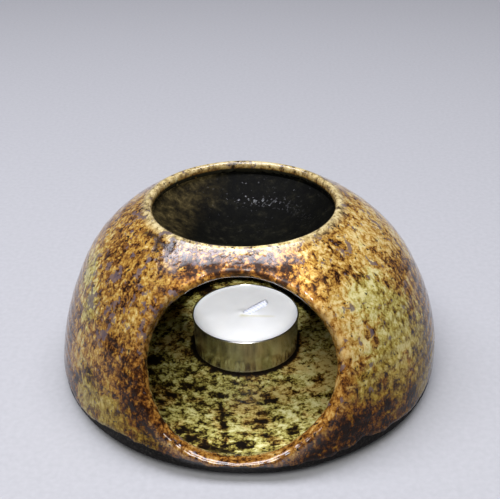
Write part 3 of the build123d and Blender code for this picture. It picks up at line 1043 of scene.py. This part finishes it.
def dark_bowl_glaze():
    """Tenmoku, an iron saturated glaze poured thick in the bowl.

    It cooled slowly to a dry, near black skin with few bright specks, and turns olive brown on the
    side where it ran thin."""
    finish, surface, add, place = new_finish("poured_tenmoku_glaze")
    cloud = add("TexNoise", {
        0: place, "Scale": per(3.6), "Detail": 8.0, "Roughness": 0.72, "Distortion": 0.2,
    })
    dark, olive = (add("ValToRGB", {0: cloud}, stops) for stops in (TENMOKU, THIN_OLIVE))
    thin, wet = (add("Attribute", attribute_name=name, out="Fac") for name in ("thin", "wet"))
    skin = add("TexNoise", {0: place, "Scale": per(1.1), "Detail": 3.0})
    bright = add("Math", {0: wet, 1: 0.13, 2: skin}, **PLUS)
    speck = add("MapRange", {0: bright, "From Min": 0.67, "From Max": 0.76})
    plug(surface, {
        "Base Color": add("Mix", {0: thin, 6: dark, 7: olive}, **LAID),
        "Roughness": add("MapRange", {0: speck, "To Min": 0.6, "To Max": 0.15}),
        "Specular IOR Level": add("MapRange", {0: speck, "To Min": 0.05, "To Max": 0.5}),
        "Normal": add("Bump", {"Strength": 0.6, "Distance": 0.3 * MM, "Height": skin}),
        "IOR": 1.5,
    })
    return finish


def drawn_aluminium():
    """Thin aluminium sheet, deep drawn: bright, with faint upright draw lines from the die."""
    finish, surface, add, place = new_finish("deep_drawn_aluminium")
    centred = add("Mapping", {0: place, "Location": (-CUP_X * MM, 0, 0), "Scale": (1, 1, 0.06)})
    lines = add("TexNoise", {0: centred, "Scale": per(0.8), "Detail": 4.0})
    plug(surface, {
        "Base Color": add("ValToRGB", {0: lines}, ((0.35, "#cdcdcc"), (0.65, "#dadbdb"))),
        "Roughness": add("MapRange", {0: lines, "To Min": 0.23, "To Max": 0.27}),
        "Normal": add("Bump", {"Strength": 0.05, "Distance": 0.03 * MM, "Height": lines}),
        "Metallic": 1.0,
    })
    return finish


def poured_wax():
    """Paraffin wax, poured and set: near white, soft at its edges because light goes into it."""
    finish, surface, add, place = new_finish("poured_paraffin_wax")
    cloud = add("TexNoise", {0: place, "Scale": per(6.0), "Detail": 3.0})
    white = add("ValToRGB", {0: cloud}, ((0.35, "#f2f3f7"), (0.65, "#f7f8fc")))
    painted_wick_shadow = add("Attribute", attribute_name="painted_wick_shadow", out="Fac")
    # painted shadow of the wick: a yellowish streak on the wax
    plug(surface, {
        "Base Color": add("Mix", {0: painted_wick_shadow, 6: white, 7: paint("#d9d5b8")}, **LAID),
        "Roughness": add("MapRange", {0: cloud, "To Min": 0.42, "To Max": 0.55}),
        "Normal": add("Bump", {"Strength": 0.2, "Distance": 0.15 * MM, "Height": cloud}),
        "IOR": 1.44,
        "Subsurface Weight": 0.35,
        "Subsurface Radius": (1.0, 0.95, 0.9),
        "Subsurface Scale": 1.5 * MM,
    })
    return finish


def waxed_cotton():
    """Braided cotton dipped in wax: off white, with the strands showing faintly through."""
    finish, surface, add, place = new_finish("wax_dipped_cotton")
    strand = add("TexWave", {
        0: place, "Scale": per(2.6), "Distortion": 1.5,
    }, bands_direction="DIAGONAL", out="Fac")
    plug(surface, {
        "Base Color": add("ValToRGB", {0: strand}, ((0.2, "#c4c8da"), (0.8, "#d6d9e8"))),
        "Roughness": add("MapRange", {0: strand, "To Min": 0.45, "To Max": 0.6}),
        "Normal": add("Bump", {"Strength": 0.4, "Distance": 0.1 * MM, "Height": strand}),
        "IOR": 1.45,
        "Specular IOR Level": 0.3,
        "Subsurface Weight": 1.0,
        "Subsurface Radius": (1.0, 1.0, 1.0),
        "Subsurface Scale": 2.2 * MM,
    })
    return finish


def tinned_sheet():
    """Tin plated steel, pressed: grey, softly bright, with faint rolling marks."""
    finish, surface, add, place = new_finish("pressed_tinplate")
    marks = add("TexNoise", {0: place, "Scale": per(0.6), "Detail": 3.0})
    plug(surface, {
        "Base Color": add("ValToRGB", {0: marks}, ((0.35, "#9c9c9a"), (0.65, "#bcbcba"))),
        "Roughness": add("MapRange", {0: marks, "To Min": 0.28, "To Max": 0.42}),
        "Metallic": 1.0,
    })
    return finish


for piece, finish, body, nodes, slot in (
    (pot, speckled_stoneware_glaze(), "burner", ("dome_shell", "base_disc"), "speckled_glaze"),
    (bowl, dark_bowl_glaze(), "burner", ("oil_well",), "dark_well_glaze"),
    (cup, drawn_aluminium(), "tealight", ("tealight_cup",), "cup_aluminium"),
    (wax, poured_wax(), "tealight", ("tealight_wax",), "candle_wax"),
    (wick, waxed_cotton(), "tealight", ("tealight_wick",), "wick_cotton"),
    (sustainer, tinned_sheet(), "tealight", ("wick_sustainer",), "sustainer_steel"),
):
    piece.data.materials.clear()
    piece.data.materials.append(finish)
    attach(piece, body)
    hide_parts(*nodes)


# ------------------------ the studio, in metres

SKY = (0.095, 0.095, 0.10, 1)
OVERHEAD_TINT = "#f2f3ff"
CAMERA_PLACE = (0.0149, -0.2657, 0.1948)
CAMERA_TILT, CAMERA_TURN, CAMERA_ROLL = (math.radians(a) for a in (60.49, 3.0, -0.67))
CAMERA_LENS = 63.66


def make_studio_cove():
    """Floor that curves up into a low wall all round, so every side sees the same pale board."""
    line = [(0, 0), (0.4, 0), (0.8, 0), *arc((1.30, 0.30), 0.30, -90, 0, 16)]
    line += [(1.60, 0.75), (1.63, 0.75), (1.63, -0.03), (0, -0.03)]
    cove = throw("studio_cove", [(x / MM, z / MM) for x, z in line], 96)
    shade_smooth(cove, 40)
    finish, surface, add, place = new_finish("matt_studio_board")
    tooth = add("TexNoise", {0: place, "Scale": per(2.0)})
    pale = add("ValToRGB", {0: tooth}, ((0.3, "#aeaeb0"), (0.7, "#b4b4b6")))
    seen = add("LightPath", out="Is Camera Ray")
    for ray in ("Is Glossy Ray", "Is Transmission Ray"):
        seen = add("Math", {0: seen, 1: add("LightPath", out=ray)}, **MOST)
    plug(surface, {
        "Base Color": add("Mix", {0: seen, 6: paint("#525254"), 7: pale}, **LAID),
        "Roughness": 0.75,
    })
    cove.data.materials.append(finish)


def hang_lamp(name, kind, power, place, aim, **settings):
    """One lamp of the studio at its place, turned to what it lights."""
    lamp = bpy.data.lights.new(name, kind)
    lamp.energy = power
    for key, value in settings.items():
        setattr(lamp, key, value)
    holder = bpy.data.objects.new(name, lamp)
    scene.collection.objects.link(holder)
    holder.location = place
    toward = (Vector(aim) - Vector(place)).normalized()
    holder.rotation_euler = (math.acos(-toward.z), 0, math.atan2(-toward.x, toward.y))


make_studio_cove()

scene = bpy.context.scene
scene.world = bpy.data.worlds.new("soft_room")
scene.world.use_nodes = True
plug(scene.world.node_tree.nodes["Background"], {"Color": SKY, "Strength": 1.0})

hang_lamp("overhead_softbox", "AREA", 14.5, (-0.18, 0.05, 1.0), (-0.18, 0.0501, 0.04),
          shape="RECTANGLE", size=1.40, size_y=0.46, color=paint(OVERHEAD_TINT)[:3])
hang_lamp("front_softbox", "AREA", 7.0, (-0.06, -0.64, 0.84), (0.0, 0.0, 0.02),
          shape="RECTANGLE", size=0.7, size_y=0.40)
hang_lamp("window_lamp", "SPOT", 37.0, (0.038, -0.673, 0.459), (-0.001, 0.012, 0.021),
          spot_size=math.radians(3.4), spot_blend=0.25, shadow_soft_size=0.005)

camera_data = bpy.data.cameras.new("photo_camera")
camera_data.sensor_fit = "HORIZONTAL"
camera_data.sensor_width = 36.0
camera_data.lens = CAMERA_LENS
camera_data.clip_start = 0.01
camera = bpy.data.objects.new("photo_camera", camera_data)
scene.collection.objects.link(camera)
tilt = Euler((CAMERA_TILT, 0, CAMERA_TURN)).to_matrix()
camera.rotation_euler = (tilt @ Matrix.Rotation(CAMERA_ROLL, 3, "Z")).to_euler()
camera.location = CAMERA_PLACE
scene.camera = camera
scene.view_settings.view_transform = "Standard"
